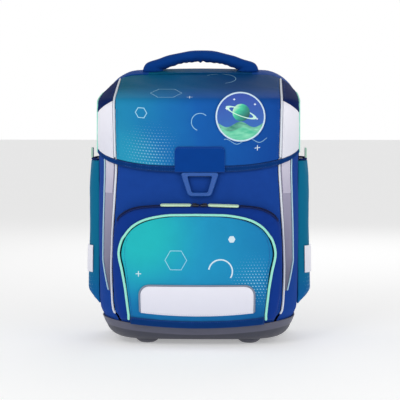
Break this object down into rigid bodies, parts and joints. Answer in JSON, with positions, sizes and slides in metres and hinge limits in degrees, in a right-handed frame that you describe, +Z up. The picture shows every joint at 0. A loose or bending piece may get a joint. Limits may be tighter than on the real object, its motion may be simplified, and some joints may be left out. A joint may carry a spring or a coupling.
{
  "type": "school ransel",
  "caption": "Closed school ransel: moulded base, lid over the front with a round patch, zipped front pocket, side pockets, grip and shoulder straps.",
  "frame": {"origin": "middle of the footprint, on the surface that the feet stand on", "axes": "+Z up, -Y the front with the pocket, +X to the right seen from the front"},
  "size_m": [0.3334, 0.2828, 0.4332],
  "materials": {
    "base_plastic": "grained moulded plastic",
    "body_fabric": "close plain-weave polyester, royal blue",
    "navy_fabric": "close plain-weave polyester, navy",
    "print_fabric": "coated printed polyester, teal to blue, with small simple shapes",
    "hem_fabric": "folded and stitched binding cloth",
    "tab_fabric": "smooth coated cloth patch, stitched round",
    "white_piping": "reflective woven piping",
    "mint_piping": "woven piping",
    "blue_piping": "thin woven piping",
    "grey_trim": "thin woven edging",
    "white_film": "smooth reflective film with a fine cell pattern",
    "lilac_film": "satin reflective film",
    "patch_surface": "moulded relief in several colours",
    "lock_plastic": "smooth moulded plastic",
    "catch_plastic": "plain moulded plastic",
    "zip_tape": "zip tape and coil",
    "slider_metal": "dark painted die-cast metal",
    "pull_plastic": "soft moulded plastic",
    "grip_fabric": "padded cloth over foam",
    "back_board": "cloth over a stiff board",
    "pad_mesh": "open spacer mesh over foam",
    "strap_fabric": "padded cloth with spacer mesh",
    "webbing": "ribbed woven webbing",
    "buckle_plastic": "moulded plastic"
  },
  "bodies": {
    "root": {"back_pad_lower": "pad_mesh", "back_pad_upper": "pad_mesh", "back_panel": "back_board", "band_trim": "grey_trim", "base_tray": "base_plastic", "corner_patch_left": "lilac_film", "corner_patch_right": "lilac_film", "corner_reflector_left": "lilac_film", "corner_reflector_right": "lilac_film", "flap_hem": "hem_fabric", "flap_panel": "print_fabric", "flap_piping_left": "white_piping", "flap_piping_right": "white_piping", "flap_wing_left": "navy_fabric", "flap_wing_right": "navy_fabric", "front_panel": "body_fabric", "front_piping_left": "white_piping", "front_piping_right": "white_piping", "handle_grip": "grip_fabric", "lid_strip": "body_fabric", "lock_catch": "catch_plastic", "lock_ring": "lock_plastic", "pocket_front": "print_fabric", "pocket_gusset": "body_fabric", "pocket_hem": "hem_fabric", "pocket_piping": "mint_piping", "pocket_zip": "zip_tape", "reflective_band": "white_film", "reflector_piping_left": "blue_piping", "reflector_piping_right": "blue_piping", "round_patch": "patch_surface", "shoulder_strap_left": "strap_fabric", "shoulder_strap_right": "strap_fabric", "side_label_left": "white_film", "side_label_right": "white_film", "side_panel_left": "body_fabric", "side_panel_right": "body_fabric", "side_pocket_binding_left": "navy_fabric", "side_pocket_binding_right": "navy_fabric", "side_pocket_left": "print_fabric", "side_pocket_right": "print_fabric", "side_tab_left": "pull_plastic", "side_tab_right": "pull_plastic", "strap_adjuster_left": "buckle_plastic", "strap_adjuster_right": "buckle_plastic", "strap_webbing_left": "webbing", "strap_webbing_right": "webbing", "tab_patch": "tab_fabric", "wing_piping_left": "mint_piping", "wing_piping_right": "mint_piping", "wing_reflector_left": "white_film", "wing_reflector_right": "white_film", "zip_pull_left": "pull_plastic", "zip_pull_right": "pull_plastic", "zip_slider_left": "slider_metal", "zip_slider_right": "slider_metal"}
  },
  "joints": []
}
